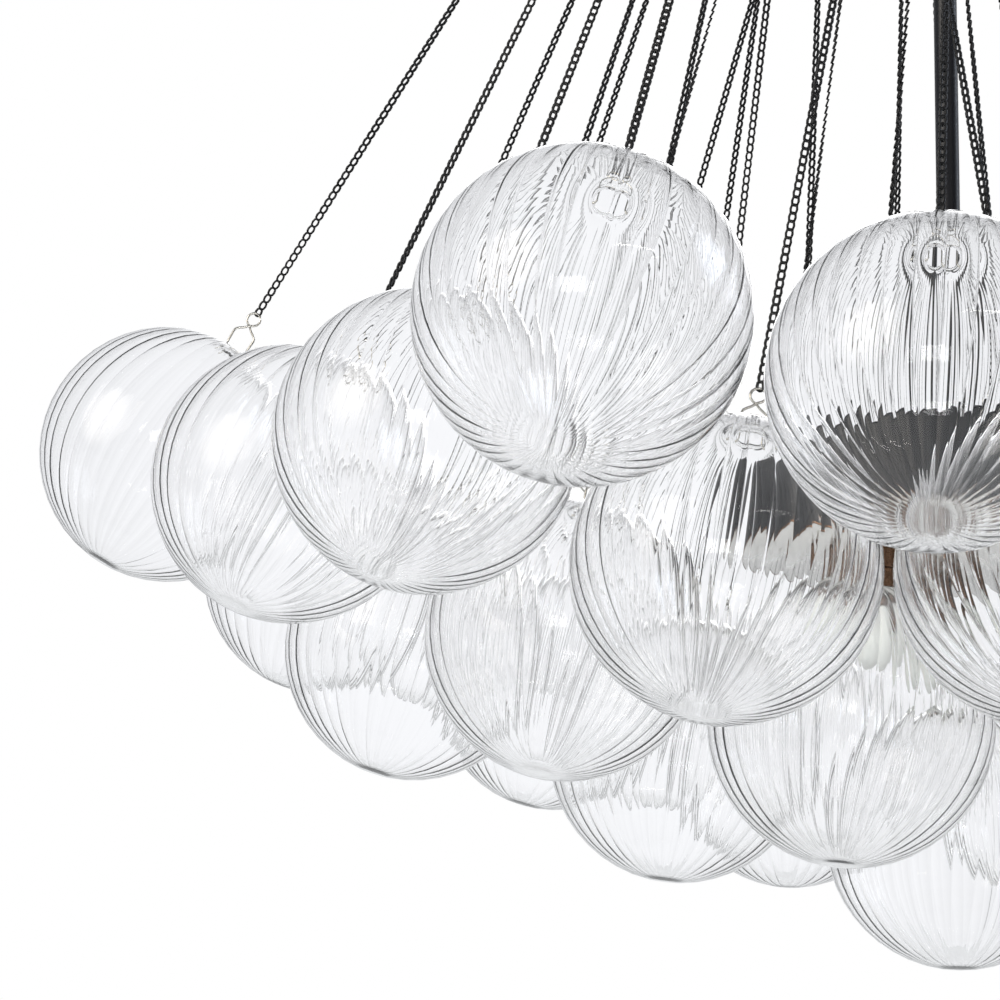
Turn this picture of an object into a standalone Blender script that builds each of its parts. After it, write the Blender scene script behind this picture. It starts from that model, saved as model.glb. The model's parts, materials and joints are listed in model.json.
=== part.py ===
# Bubble chandelier: 37 blown glass globes in a packed hexagonal bowl, each hung on its own chain.
# Metres, +Z up. The origin is on the ceiling, in the middle of the bracket's top face.

import math

import bmesh
import bpy
from mathutils import Matrix, Vector

# Fixture above the globes
rod_radius = 0.007
fit_gap = 0.00015
seat_gap = 0.0003
bracket_radius = 0.048
bracket_plate = 0.0025
bracket_boss_radius = 0.012
bracket_boss_height = 0.014
bracket_screw_circle = 0.034
bracket_screw_radius = 0.00225
canopy_radius = 0.060
canopy_height = 0.036
canopy_wall = 0.0012
canopy_corner = 0.010
collar_radius = 0.0125
collar_height = 0.014
collar_screw_radius = 0.0016
cut_overrun = 0.004
merge_distance = 0.000005

# Hook ring: the circle that carries the chains
hook_drop = 0.160
hook_circle = 0.062
hook_wire = 0.0020
hook_hub_radius = 0.013
hook_hub_height = 0.018
hook_spoke_radius = 0.0018
hook_spokes = 4
hook_spoke_turn = 45.0

# Gather rings: the link that closes round the hook wire at the top of the chains
gather_radius = 0.0078
gather_wire = 0.0013
gather_bead = 0.0055
gather_spread = 0.0100
single_bead = 0.0028
gather_sides = 8

# Globes
globe_radius = 0.075
globe_gap = 0.0007
glass_wall = 0.003
neck_radius = 0.0080
globe_sides = 10
globe_ring_angles = (42.0, 77.0, 112.0, 147.0)

# Layout of the bowl: plan places are shares of the globe pitch on a hexagonal grid, and the
# chains and the lamp's drop are shares of the inner chains' length
bowl_turn = 30.11
chain_length = 0.8845
centre_drop_share = 1.045789
middle_length_share = 0.973431
outer_length_share = 0.937253
inner_spread_share = 1.0566
middle_spread_shares = (1.0390, 1.0116)
outer_spread_shares = (1.0190, 1.0000)
outer_length_shares = (0.9994, 1.0199, 1.0084, 0.9972, 0.9835, 1.0028, 0.9984, 1.0016, 1.0035)

# Chain and sprung wire clip
chain_width = 0.0050
chain_thickness = 0.0018
chain_turns = 0.5
chain_steps = 6
clip_wire = 0.0006
clip_stand = 0.008
clip_rise = 0.007
clip_flare = 0.0024
clip_clearance = 0.0003

# Lamp body: a drum on the rod's lower end
lamp_drop_share = 0.795930
lamp_radius = 0.127
lamp_height = 0.057
lamp_wall = 0.0015
lamp_edge = 0.003
lamp_socket_depth = 0.014
lamp_sides = 48
lamp_plate = 0.002
bulb_count = 3
bulb_circle = 0.060
holder_top_radius = 0.0175
holder_radius = 0.0140
holder_height = 0.026
socket_radius = 0.0105
socket_depth = 0.018
bulb_radius = 0.0170
bulb_length = 0.040
bulb_neck = 0.005
eye_radius = 0.0055
eye_wire = 0.0014

# Hooks round the ring: name, azimuth from the front towards the left, and the pendants gathered there
bundles = (
    ("chains_left", 90.0, ((3, 2), (3, 3), (3, 5), (2, 3), (1, 2), (1, 3), (2, 2), (2, 0))),
    ("chains_back_left", 115.0, ((3, 6), (2, 5))),
    ("chains_front", -5.0, ((3, 0), (3, 17), (2, 1), (2, 10), (1, 1))),
    ("chains_back", 175.0, ((3, 9), (3, 8), (2, 7), (2, 4), (1, 4), (2, 6))),
    ("chains_right", 270.0, ((3, 11), (3, 12), (3, 14), (2, 9), (1, 5), (1, 0), (2, 8))),
    ("chains_front_right", 295.0, ((3, 15), (2, 11))),
)
corner_hooks = (((3, 1), 82.0), ((3, 4), 102.0), ((3, 7), 150.0),
                ((3, 10), 262.0), ((3, 13), 282.0), ((3, 16), 330.0))

for old in list(bpy.data.objects):
    bpy.data.objects.remove(old, do_unlink=True)


# Materials
def make_material(name, colour, roughness, metallic, transmission=0.0):
    material = bpy.data.materials.new(name)
    material.use_nodes = True
    shader = material.node_tree.nodes["Principled BSDF"]
    shader.inputs["Base Color"].default_value = (*colour, 1.0)
    shader.inputs["Roughness"].default_value = roughness
    shader.inputs["Metallic"].default_value = metallic
    shader.inputs["Transmission Weight"].default_value = transmission
    return material


black = (0.012, 0.012, 0.014)
steel = (0.62, 0.63, 0.65)
clear = (0.93, 0.95, 0.96)


# Mesh helpers
def finish_object(name, bm, material, smooth=True):
    bmesh.ops.recalc_face_normals(bm, faces=bm.faces)
    mesh = bpy.data.meshes.new(name)
    bm.to_mesh(mesh)
    bm.free()
    if smooth:
        mesh.shade_smooth()
        mesh.set_sharp_from_angle(angle=math.radians(40))
    mesh.materials.append(material)
    obj = bpy.data.objects.new(name, mesh)
    bpy.context.collection.objects.link(obj)
    return obj


def add_turned(bm, profile, sides, closed=False, place=Matrix()):
    """Spins a profile of (radius, height) points about Z; points on the axis close a pole."""
    verts = [bm.verts.new((r, 0, z)) for r, z in profile]
    pairs = list(zip(verts, verts[1:])) + ([(verts[-1], verts[0])] if closed else [])
    edges = [bm.edges.new(pair) for pair in pairs]
    bmesh.ops.spin(bm, geom=verts + edges, cent=(0, 0, 0), axis=(0, 0, 1), angle=math.tau,
                   steps=sides, use_merge=True)
    fresh = [v for v in bm.verts if not v.tag]
    bmesh.ops.remove_doubles(bm, verts=fresh, dist=merge_distance)
    fresh = [v for v in bm.verts if not v.tag]
    bmesh.ops.transform(bm, matrix=place, verts=fresh)
    for v in fresh:
        v.tag = True


def add_sweep(bm, sections):
    """Skins a row of equal vertex loops and caps both ends."""
    loops = [[bm.verts.new(point) for point in section] for section in sections]
    count = len(loops[0])
    for lower, upper in zip(loops, loops[1:]):
        for k in range(count):
            bm.faces.new((lower[k], lower[(k + 1) % count], upper[(k + 1) % count], upper[k]))
    bm.faces.new(reversed(loops[0]))
    bm.faces.new(loops[-1])
    for v in bm.verts:
        v.tag = True


def wire_sections(points, radius, side):
    """Square wire round a flat path; side is the direction square to the path's plane."""
    sections = []
    for k, point in enumerate(points):
        before = (point - points[k - 1]).normalized() if k else (points[1] - point).normalized()
        after = (points[k + 1] - point).normalized() if k + 1 < len(points) else before
        along = (before + after).normalized()
        out = along.cross(side) * (radius / along.dot(before))
        sections.append([point + out, point + side * radius, point - out, point - side * radius])
    return sections


def set_boolean(obj, other, operation, with_self=False):
    cut = obj.modifiers.new(other.name, "BOOLEAN")
    cut.operation = operation
    cut.solver = "EXACT"
    cut.use_self = with_self
    cut.object = other
    other.hide_render = True
    other.display_type = "WIRE"


def hide_helper(name, bm, material):
    helper = finish_object(name, bm, material)
    helper.hide_render = True
    helper.display_type = "WIRE"
    return helper


# Layout rules
pitch = 2 * globe_radius + globe_gap
ring_lengths = (chain_length, chain_length * middle_length_share, chain_length * outer_length_share)


def azimuth_direction(degrees):
    turn = math.radians(degrees)
    return Vector((-math.sin(turn), -math.cos(turn), 0))


def hex_point(ring, index):
    """Corner 1 of a ring points along the bowl's turn; the index rises towards the left and the back."""
    if ring == 0:
        return Vector((0, 0))
    side, step = divmod((index - 1) % (6 * ring), ring)
    first = math.radians(60 * side)
    second = math.radians(60 * side + 60)
    share = step / ring
    start = Vector((math.sin(first), math.cos(first)))
    end = Vector((math.sin(second), math.cos(second)))
    return ring * start.lerp(end, share)


def plan_point(ring, index):
    corner = ring > 0 and (index - 1) % ring == 0
    spread = 1.0
    if ring == 1:
        spread = inner_spread_share
    elif ring == 2:
        spread = middle_spread_shares[0 if corner else 1]
    elif ring == 3:
        spread = outer_spread_shares[0 if corner else 1]
    point = hex_point(ring, index) * spread * pitch
    turn = math.radians(bowl_turn)
    left = point.x * math.cos(turn) + point.y * math.sin(turn)
    front = point.y * math.cos(turn) - point.x * math.sin(turn)
    return Vector((-left, -front, 0))


def hook_point(azimuth):
    return azimuth_direction(azimuth) * hook_circle - Vector((0, 0, hook_drop))


def pendant(ring, index, hook):
    """Centre of a globe that hangs at its chain's length from its hook."""
    if ring == 0:
        return Vector((0, 0, -hook_drop - chain_length * centre_drop_share))
    length = ring_lengths[ring - 1]
    if ring == 3:
        length *= outer_length_shares[index % len(outer_length_shares)]
    plan = plan_point(ring, index)
    away = (plan - Vector((hook.x, hook.y, 0))).length
    return Vector((plan.x, plan.y, hook.z - math.sqrt(length * length - away * away)))


def pendant_frame(centre, hook):
    """Rows along the clip's width, its side and the chain, with the origin in the globe's centre."""
    up = (hook - centre).normalized()
    across = Vector((0, 1, 0)).cross(up).normalized()
    side = up.cross(across)
    frame = Matrix((across, side, up)).transposed().to_4x4()
    frame.translation = centre
    return frame


# Globes
def arc_points(radius, first):
    points = [first]
    for angle in globe_ring_angles:
        turn = math.radians(angle)
        points.append((radius * math.sin(turn), radius * math.cos(turn)))
    return points + [(0, -radius)]


def neck_height(radius):
    return math.sqrt(radius * radius - neck_radius * neck_radius)


inner_radius = globe_radius - glass_wall
flat_share = math.cos(math.pi / globe_sides)
globe_mesh = None


def make_globe(name, centre, hook):
    global globe_mesh
    if globe_mesh is None:
        bm = bmesh.new()
        outer = arc_points(globe_radius, (neck_radius, neck_height(globe_radius)))
        inner = arc_points(inner_radius, (neck_radius, neck_height(inner_radius)))
        add_turned(bm, list(reversed(outer)) + inner, globe_sides)
        glass = make_material("clear_glass", clear, 0.0, 0.0, 1.0)
        globe = finish_object(name, bm, glass)
        globe_mesh = globe.data
    else:
        globe = bpy.data.objects.new(name, globe_mesh)
        bpy.context.collection.objects.link(globe)
    globe.matrix_world = pendant_frame(centre, hook)
    return globe


# Hangers: gather ring, chains and clips as one piece
leg_reach = neck_radius * flat_share - clip_wire - clip_clearance
foot_reach = leg_reach + clip_flare
glass_fall = neck_height(inner_radius) - arc_points(inner_radius, (0, 0))[1][1]
glass_run = arc_points(inner_radius, (0, 0))[1][0] - neck_radius
foot_edge = (foot_reach + clip_wire) / flat_share
foot_height = (neck_height(inner_radius) - (foot_edge - neck_radius) * glass_fall / glass_run
               - clip_wire - seat_gap)
shoulder_height = globe_radius + clip_stand
apex_height = shoulder_height + clip_rise


def add_chain(bm, top, frame):
    """A flat band that turns slowly and narrows to its top link in the gather ring."""
    bottom = frame @ Vector((0, 0, apex_height - clip_wire))
    across = frame.to_3x3() @ Vector((1, 0, 0))
    side = frame.to_3x3() @ Vector((0, 1, 0))
    sections = []
    top = top.lerp(bottom, gather_wire / (top - bottom).length)
    for k in range(chain_steps + 1):
        share = k / chain_steps
        turn = chain_turns * math.tau * share
        width = chain_thickness if k == chain_steps else chain_width
        wide = (across * math.cos(turn) + side * math.sin(turn)) * width / 2
        thick = (side * math.cos(turn) - across * math.sin(turn)) * chain_thickness / 2
        middle = bottom.lerp(top, share)
        sections.append([middle + wide + thick, middle - wide + thick,
                         middle - wide - thick, middle + wide - thick])
    add_sweep(bm, sections)


def add_clip(bm, frame):
    path = [(-foot_reach, foot_height), (-leg_reach, foot_height), (-leg_reach, shoulder_height),
            (0, apex_height), (leg_reach, shoulder_height), (leg_reach, foot_height),
            (foot_reach, foot_height)]
    points = [Vector((x, 0, z)) for x, z in path]
    sections = wire_sections(points, clip_wire, Vector((0, 1, 0)))
    add_sweep(bm, [[frame @ point for point in section] for section in sections])


def gather_matrix(azimuth):
    """A standing ring square to the hook wire, whose bottom is at the hook point."""
    place = Matrix.Translation(hook_point(azimuth) + Vector((0, 0, gather_radius)))
    return place @ Matrix.Rotation(-math.radians(azimuth), 4, "Z") @ Matrix.Rotation(math.pi / 2, 4, "Y")


def add_ring(bm, radius, wire, place, sides=gather_sides, wire_sides=5):
    profile = []
    for k in range(wire_sides):
        turn = math.tau * k / wire_sides
        profile.append((radius + wire * math.cos(turn), wire * math.sin(turn)))
    add_turned(bm, profile, sides, closed=True, place=place)


def make_hanger(name, place, hook, frames, pivot=None):
    """One chain and clip for each frame; their top links fan out inside the bead on the ring of place."""
    bm = bmesh.new()
    bead_radius = gather_bead if len(frames) > 1 else single_bead
    bead = bmesh.ops.create_icosphere(bm, subdivisions=1, radius=bead_radius)
    bmesh.ops.translate(bm, vec=hook, verts=bead["verts"])
    mean = sum((frame.col[2].xyz for frame in frames), Vector()) / len(frames)
    for frame in frames:
        add_chain(bm, hook - (frame.col[2].xyz - mean) * gather_spread, frame)
        add_clip(bm, frame)
    if pivot is not None:
        bmesh.ops.translate(bm, vec=-pivot, verts=bm.verts)
    metal = make_material(name + "_metal", black, 0.45, 0.9)
    hanger = finish_object(name, bm, metal, smooth=False)
    ring_bm = bmesh.new()
    add_ring(ring_bm, gather_radius, gather_wire, place)
    if pivot is not None:
        bmesh.ops.translate(ring_bm, vec=-pivot, verts=ring_bm.verts)
        hanger.location = pivot
    ring = hide_helper(name + "_ring", ring_bm, metal)
    ring.location = hanger.location
    set_boolean(hanger, ring, "UNION", with_self=True)
    return hanger


def globe_name(ring, index):
    return "globe_centre" if ring == 0 else f"globe_{('inner', 'middle', 'outer')[ring - 1]}_{index:02d}"


gather_inside = (gather_radius - gather_wire) * math.cos(math.pi / gather_sides)
wire_centre_height = -hook_drop + gather_radius + gather_inside - seat_gap - hook_wire
for name, azimuth, keys in bundles:
    hook = hook_point(azimuth)
    frames = []
    for ring, index in keys:
        centre = pendant(ring, index, hook)
        make_globe(globe_name(ring, index), centre, hook)
        frames.append(pendant_frame(centre, hook))
    make_hanger(name, gather_matrix(azimuth), hook, frames)

for (ring, index), azimuth in corner_hooks:
    hook = hook_point(azimuth)
    centre = pendant(ring, index, hook)
    pivot = Vector((hook.x, hook.y, wire_centre_height))
    make_globe(globe_name(ring, index), centre, hook)
    hanger_name = f"corner_hanger_{index:02d}"
    make_hanger(hanger_name, gather_matrix(azimuth), hook, [pendant_frame(centre, hook)], pivot)


# Ceiling bracket with its boss and two screw holes
bracket_profile = [
    (0, 0), (bracket_radius, 0), (bracket_radius, -bracket_plate),
    (bracket_boss_radius, -bracket_plate),
    (bracket_boss_radius, -bracket_plate - bracket_boss_height),
    (rod_radius + fit_gap, -bracket_plate - bracket_boss_height),
    (rod_radius + fit_gap, -bracket_plate), (0, -bracket_plate)]
bm = bmesh.new()
add_turned(bm, list(reversed(bracket_profile)), 32)
bracket = finish_object("ceiling_bracket", bm, make_material("zinc", steel, 0.4, 1.0))
for sign in (-1, 1):
    bm = bmesh.new()
    bmesh.ops.create_cone(bm, cap_ends=True, segments=16, radius1=bracket_screw_radius,
                          radius2=bracket_screw_radius, depth=bracket_plate + 2 * cut_overrun)
    hole = hide_helper(f"bracket_hole_{sign}", bm, bracket.data.materials[0])
    hole.location = (sign * bracket_screw_circle, 0, -bracket_plate / 2)
    set_boolean(bracket, hole, "DIFFERENCE")

# Rod from the bracket's boss into the lamp body's boss
rod_top = -bracket_plate - seat_gap
lamp_top = -hook_drop - chain_length * lamp_drop_share
rod_bottom = lamp_top - lamp_socket_depth
bm = bmesh.new()
add_turned(bm, [(0, rod_bottom), (rod_radius, rod_bottom), (rod_radius, rod_top), (0, rod_top)], 24)
finish_object("rod", bm, make_material("rod_black", black, 0.35, 0.8))

# Canopy cup that slides on the rod, with its collar
canopy_top = -seat_gap
canopy_bottom = canopy_top - canopy_height
bore = rod_radius + fit_gap
corner_points = []
for k in range(4):
    turn = math.radians(30 * k)
    corner_points.append((canopy_radius - canopy_corner * (1 - math.cos(turn)),
                          canopy_bottom + canopy_corner * (1 - math.sin(turn))))
inner_corner = canopy_corner - canopy_wall
inner_points = []
for k in range(4):
    turn = math.radians(90 - 30 * k)
    inner_points.append((canopy_radius - canopy_corner + inner_corner * math.cos(turn),
                         canopy_bottom + canopy_corner - inner_corner * math.sin(turn)))
canopy_profile = ([(canopy_radius, canopy_top)] + corner_points + [(bore, canopy_bottom),
                  (bore, canopy_bottom + canopy_wall)] + inner_points
                  + [(canopy_radius - canopy_wall, canopy_top)])
bm = bmesh.new()
add_turned(bm, canopy_profile, 32, closed=True)
finish_object("canopy", bm, make_material("canopy_black", black, 0.4, 0.8))

collar_top = canopy_bottom - seat_gap
collar_profile = [(bore, collar_top), (collar_radius, collar_top),
                  (collar_radius, collar_top - collar_height), (bore, collar_top - collar_height)]
bm = bmesh.new()
add_turned(bm, collar_profile, 24, closed=True)
collar = finish_object("canopy_collar", bm, make_material("collar_black", black, 0.3, 0.9))
bm = bmesh.new()
bmesh.ops.create_cone(bm, cap_ends=True, segments=12, radius1=collar_screw_radius,
                      radius2=collar_screw_radius, depth=collar_radius)
hole = hide_helper("collar_hole", bm, collar.data.materials[0])
hole.rotation_euler = (math.pi / 2, 0, 0)
hole.location = (0, rod_radius + collar_radius / 2, collar_top - collar_height / 2)
set_boolean(collar, hole, "DIFFERENCE")

# Hook ring: hub on the rod, spokes and the round wire that carries the gather rings
hub_profile = [(bore, wire_centre_height + hook_hub_height / 2),
               (hook_hub_radius, wire_centre_height + hook_hub_height / 2),
               (hook_hub_radius, wire_centre_height - hook_hub_height / 2),
               (bore, wire_centre_height - hook_hub_height / 2)]
bm = bmesh.new()
add_turned(bm, hub_profile, 24, closed=True)
hook_ring = finish_object("hook_ring", bm, make_material("ring_black", black, 0.35, 0.9))
bm = bmesh.new()
add_ring(bm, hook_circle, hook_wire, Matrix.Translation((0, 0, wire_centre_height)), 40, 6)
wire_helper = hide_helper("hook_wire", bm, hook_ring.data.materials[0])
set_boolean(hook_ring, wire_helper, "UNION")
spoke_start = (bore + hook_hub_radius) / 2
for k in range(hook_spokes):
    bm = bmesh.new()
    bmesh.ops.create_cone(bm, cap_ends=True, segments=8, radius1=hook_spoke_radius,
                          radius2=hook_spoke_radius, depth=hook_circle - spoke_start)
    spoke = hide_helper(f"hook_spoke_{k}", bm, hook_ring.data.materials[0])
    azimuth = hook_spoke_turn + 360 / hook_spokes * k
    spoke.rotation_euler = (math.pi / 2, 0, -math.radians(azimuth))
    spoke.location = azimuth_direction(azimuth) * (hook_circle + spoke_start) / 2
    spoke.location.z = wire_centre_height
    set_boolean(hook_ring, spoke, "UNION")

# Lamp body: drum with a rounded edge, a socket for the rod and a recess for its plate
lamp_bottom = lamp_top - lamp_height
plate_top = lamp_bottom + lamp_plate
edge_points = []
for k in range(3):
    turn = math.radians(45 * k)
    edge_points.append((lamp_radius - lamp_edge * (1 - math.sin(turn)),
                        lamp_top - lamp_edge * (1 - math.cos(turn))))
lamp_profile = ([(0, rod_bottom - seat_gap), (bore, rod_bottom - seat_gap), (bore, lamp_top)]
                + edge_points
                + [(lamp_radius, lamp_bottom), (lamp_radius - lamp_wall, lamp_bottom),
                   (lamp_radius - lamp_wall, plate_top + seat_gap), (0, plate_top + seat_gap)])
bm = bmesh.new()
add_turned(bm, lamp_profile, lamp_sides)
finish_object("lamp_body", bm, make_material("lamp_black", black, 0.3, 0.7))

# Lamp plate: disc that closes the drum, with the bulb holders and the eye of the middle chain
plate_radius = (lamp_radius - lamp_wall) * math.cos(math.pi / lamp_sides) - seat_gap
bm = bmesh.new()
bmesh.ops.create_cone(bm, cap_ends=True, segments=lamp_sides, radius1=plate_radius, radius2=plate_radius,
                      depth=lamp_plate)
bmesh.ops.translate(bm, vec=(0, 0, plate_top - lamp_plate / 2), verts=bm.verts)
plate = finish_object("lamp_plate", bm, make_material("plate_bronze", (0.10, 0.07, 0.05), 0.35, 0.9))
holder_bottom = lamp_bottom - holder_height
holder_profile = [(0, plate_top - lamp_plate / 2), (holder_top_radius, plate_top - lamp_plate / 2),
                  (holder_top_radius, lamp_bottom), (holder_radius, holder_bottom),
                  (socket_radius, holder_bottom), (socket_radius, holder_bottom + socket_depth),
                  (0, holder_bottom + socket_depth)]
eye_height = lamp_bottom - eye_radius
bulb_places = [azimuth_direction(60 + 360 / bulb_count * k) * bulb_circle for k in range(bulb_count)]
for k, place in enumerate(bulb_places):
    bm = bmesh.new()
    add_turned(bm, list(reversed(holder_profile)), 20)
    holder = hide_helper(f"holder_{k}", bm, plate.data.materials[0])
    holder.location = place
    set_boolean(plate, holder, "UNION")
bm = bmesh.new()
add_ring(bm, eye_radius, eye_wire, Matrix.Translation((0, 0, eye_height))
         @ Matrix.Rotation(math.pi / 2, 4, "X"), 12, 6)
eye = hide_helper("plate_eye", bm, plate.data.materials[0])
set_boolean(plate, eye, "UNION")

# Bulbs that plug into the holders
plug_radius = socket_radius * math.cos(math.pi / 20) - seat_gap
for k, place in enumerate(bulb_places):
    neck_z = holder_bottom - seat_gap
    round_z = neck_z - bulb_neck
    tip_z = round_z - bulb_length + bulb_radius
    dome = []
    for step in range(1, 4):
        turn = math.radians(30 * step)
        dome.append((bulb_radius * math.cos(turn), tip_z - bulb_radius * math.sin(turn)))
    dome[-1] = (0, tip_z - bulb_radius)
    profile = ([(0, holder_bottom + socket_depth - seat_gap),
                (plug_radius, holder_bottom + socket_depth - seat_gap), (plug_radius, neck_z),
                (bulb_radius, round_z), (bulb_radius, tip_z)] + dome)
    bm = bmesh.new()
    add_turned(bm, list(reversed(profile)), 16)
    bulb = finish_object(f"bulb_{k + 1}", bm,
                         make_material(f"bulb_glass_{k + 1}", (0.9, 0.85, 0.75), 0.2, 0.0, 0.6))
    bulb.location = place

# Middle pendant, whose ring hangs in the plate's eye
hook = Vector((0, 0, eye_height - eye_radius + eye_wire + seat_gap + gather_wire - 2 * gather_radius))
centre = pendant(0, 0, hook)
make_globe(globe_name(0, 0), centre, hook)
centre_ring = Matrix.Translation(hook + Vector((0, 0, gather_radius))) @ Matrix.Rotation(math.pi / 2, 4, "Y")
make_hanger("centre_hanger", centre_ring, hook, [pendant_frame(centre, hook)])
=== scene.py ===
import json
import math
import random

import bmesh
import bpy
from mathutils import Matrix, Vector


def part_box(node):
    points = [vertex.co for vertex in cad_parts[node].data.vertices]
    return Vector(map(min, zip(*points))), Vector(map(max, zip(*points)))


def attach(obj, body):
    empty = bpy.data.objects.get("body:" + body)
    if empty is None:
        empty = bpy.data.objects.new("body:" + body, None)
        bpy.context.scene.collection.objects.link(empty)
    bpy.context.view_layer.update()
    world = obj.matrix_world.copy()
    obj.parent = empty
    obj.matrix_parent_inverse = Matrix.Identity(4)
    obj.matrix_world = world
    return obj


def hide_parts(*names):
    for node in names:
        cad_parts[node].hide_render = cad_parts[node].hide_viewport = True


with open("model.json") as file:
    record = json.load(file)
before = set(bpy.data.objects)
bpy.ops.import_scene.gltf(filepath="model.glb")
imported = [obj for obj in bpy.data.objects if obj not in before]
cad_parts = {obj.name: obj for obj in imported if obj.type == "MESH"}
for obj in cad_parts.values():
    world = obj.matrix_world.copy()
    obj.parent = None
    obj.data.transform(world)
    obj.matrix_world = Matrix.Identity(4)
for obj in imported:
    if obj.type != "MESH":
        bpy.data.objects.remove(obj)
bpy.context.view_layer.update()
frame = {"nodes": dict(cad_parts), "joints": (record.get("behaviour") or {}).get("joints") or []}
joints = {joint["name"]: joint for joint in frame["joints"]}
up = Vector((0, 0, 1))
weld = 0.000005  # closer than this, two points of a mesh are one
print("frame loaded:", len(frame["nodes"]), "nodes")


def linear(hexColour):
    # sRGB hex to linear light
    parts = [int(hexColour[k:k + 2], 16) / 255 for k in (1, 3, 5)]
    return tuple(p / 12.92 if p <= 0.04045 else ((p + 0.055) / 1.055) ** 2.4 for p in parts) + (1.0,)


def addNode(tree, kind, values=None, **settings):
    # values holds plain numbers or sockets, by the input's name or place
    node = tree.nodes.new(kind)
    for name, setting in settings.items():
        setattr(node, name, setting)
    for place, value in (values or {}).items():
        if isinstance(value, bpy.types.NodeSocket):
            tree.links.new(value, node.inputs[place])
        else:
            node.inputs[place].default_value = value
    return node


def newMaterial(name):
    material = bpy.data.materials.new(name)
    material.use_nodes = True
    material.node_tree.nodes.clear()
    return material, material.node_tree


def closeMaterial(tree, shader):
    addNode(tree, "ShaderNodeOutputMaterial", {"Surface": shader})


# blown soda-lime glass, optic moulded: fully clear, the bent surface alone draws it
glassLook = {
    "tint": "#FFFFFF",
    "ior": 1.5,
    "gleam": "#909090",
    "shadow": "#F4F6F6",  # what light keeps on its way through to a shadow
    "waveSize": 34.0,  # mm from crest to crest of the gather's waves
    "waveDepth": 0.00008,
}


def makeBlownGlass():
    material, tree = newMaterial("blownGlass")
    place = addNode(tree, "ShaderNodeTexCoord").outputs["Object"]
    wave = addNode(tree, "ShaderNodeTexNoise", {"Vector": place, "Scale": 1000 / glassLook["waveSize"],
                                                "Detail": 1.0, "Roughness": 0.4})
    bump = addNode(tree, "ShaderNodeBump", {"Height": wave.outputs["Fac"], "Strength": 1.0,
                                            "Distance": glassLook["waveDepth"]})
    glass = addNode(tree, "ShaderNodeBsdfPrincipled", {
        "Base Color": linear(glassLook["tint"]), "Roughness": 0.0, "IOR": glassLook["ior"],
        "Transmission Weight": 1.0, "Specular Tint": linear(glassLook["gleam"]),
        "Normal": bump.outputs["Normal"]})
    passing = addNode(tree, "ShaderNodeBsdfTransparent", {"Color": linear(glassLook["shadow"])})
    path = addNode(tree, "ShaderNodeLightPath")
    mix = addNode(tree, "ShaderNodeMixShader", {0: path.outputs["Is Shadow Ray"], 1: glass.outputs[0],
                                                2: passing.outputs[0]})
    closeMaterial(tree, mix.outputs[0])
    return material


coatGrain = {
    "clouds": 14,  # grains across one cloud of tone
    "glossLow": 0.3,  # the middle of the noise, which is spread over the whole range of gloss
    "glossHigh": 0.7,
}


def makeGrainedFinish(name, colour, paler, roughness, metallic, grain, depth, spread=0.08, gleam=0.5):
    # painted, plated or etched: a fine grain in colour, gloss and height, whose size is in mm
    material, tree = newMaterial(name)
    place = addNode(tree, "ShaderNodeTexCoord").outputs["Object"]
    cloud = addNode(tree, "ShaderNodeTexNoise", {
        "Vector": place, "Scale": 1000 / (grain * coatGrain["clouds"]), "Detail": 4.0})
    speck = addNode(tree, "ShaderNodeTexNoise", {"Vector": place, "Scale": 1000 / grain, "Detail": 2.0})
    tone = addNode(tree, "ShaderNodeMix", {"Factor": cloud.outputs["Fac"], "A": linear(colour),
                                           "B": linear(paler)}, data_type="RGBA")
    gloss = addNode(tree, "ShaderNodeMapRange", {
        "Value": speck.outputs["Fac"], "From Min": coatGrain["glossLow"], "From Max": coatGrain["glossHigh"],
        "To Min": roughness - spread, "To Max": roughness + spread})
    bump = addNode(tree, "ShaderNodeBump", {"Height": speck.outputs["Fac"], "Strength": 1.0,
                                            "Distance": depth})
    finish = addNode(tree, "ShaderNodeBsdfPrincipled", {
        "Base Color": tone.outputs["Result"], "Roughness": gloss.outputs["Result"], "Metallic": metallic,
        "Specular IOR Level": gleam, "Normal": bump.outputs["Normal"]})
    closeMaterial(tree, finish.outputs[0])
    return material


blownGlass = makeBlownGlass()
# black oxide on steel chain: matte, a little paler in clouds where it is worn
blackOxide = makeGrainedFinish("blackOxideSteel", "#050506", "#0D0D0F", 0.5, 0.0, 0.8, 0.00003, gleam=0.3)
# bright spring wire of the clips
springWire = makeGrainedFinish("springWire", "#B3B0A9", "#CCC9C2", 0.22, 1.0, 0.6, 0.00001, 0.05)
# satin black powder coat: fine orange peel, soft broad highlights
powderCoat = makeGrainedFinish("satinPowderCoat", "#0B0C10", "#121318", 0.38, 0.0, 1.1, 0.00004, gleam=0.22)
# burnished bronze of the lampholders, the eye and the drum's rim
burnishedBronze = makeGrainedFinish("burnishedBronze", "#4A372B", "#7A5D48", 0.3, 1.0, 1.6, 0.00002)
# buffed pale bronze of the plate: smooth enough to take the white of the room
paleBronze = makeGrainedFinish("buffedPaleBronze", "#E2DFDA", "#ECEAE6", 0.16, 0.5, 2.4, 0.00001, 0.04)
# zinc plate of the ceiling bracket and the bulbs' caps
zincPlate = makeGrainedFinish("zincPlate", "#A9ABAF", "#C3C5C8", 0.38, 1.0, 2.2, 0.00002)
# acid-etched opal glass of the bulbs, a plain white body under the same fine grain
opalGlass = makeGrainedFinish("opalGlass", "#F8F6F1", "#FCFBF8", 0.45, 0.0, 1.2, 0.00002)
print("materials ready")


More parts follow.
